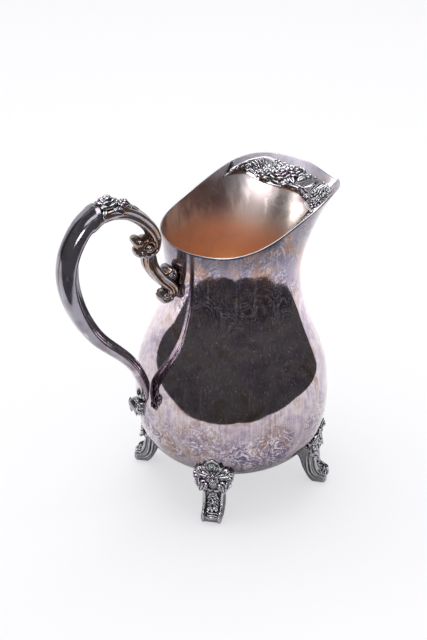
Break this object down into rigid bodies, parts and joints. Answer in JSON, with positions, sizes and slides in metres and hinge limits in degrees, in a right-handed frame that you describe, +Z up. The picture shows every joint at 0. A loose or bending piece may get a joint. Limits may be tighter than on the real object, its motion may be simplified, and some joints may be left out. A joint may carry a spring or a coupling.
{
  "type": "water pitcher",
  "caption": "Footed pear-shaped metal water pitcher with a flared spout, soldered ornamental ice guard, scrolled hollow handle and cast scroll feet.",
  "frame": {"origin": "on the table plane under the centre of the overall bounding box, midway between the spout tip and the handle", "axes": "+X towards the spout, +Y to the left of the spout as seen from the handle, +Z up"},
  "size_m": [0.2295, 0.1428, 0.2543],
  "materials": {
    "silver_body": "silver plate, polished and tarnished, warm inside",
    "silver_handle": "silver plate, dark polished tarnish",
    "cast_ornament": "silver plated white metal casting, dark tarnish in the recesses"
  },
  "bodies": {
    "root": {"body_shell": "silver_body", "ice_guard_plate": "silver_body", "ice_guard_casting": "cast_ornament", "handle_grip_left": "silver_handle", "handle_grip_right": "silver_handle", "handle_upper_scroll": "silver_handle", "handle_bracket": "silver_handle", "handle_tail": "cast_ornament", "handle_flower_spray": "cast_ornament", "foot_spout_left": "cast_ornament", "foot_spout_right": "cast_ornament", "foot_handle_left": "cast_ornament", "foot_handle_right": "cast_ornament"}
  },
  "joints": []
}
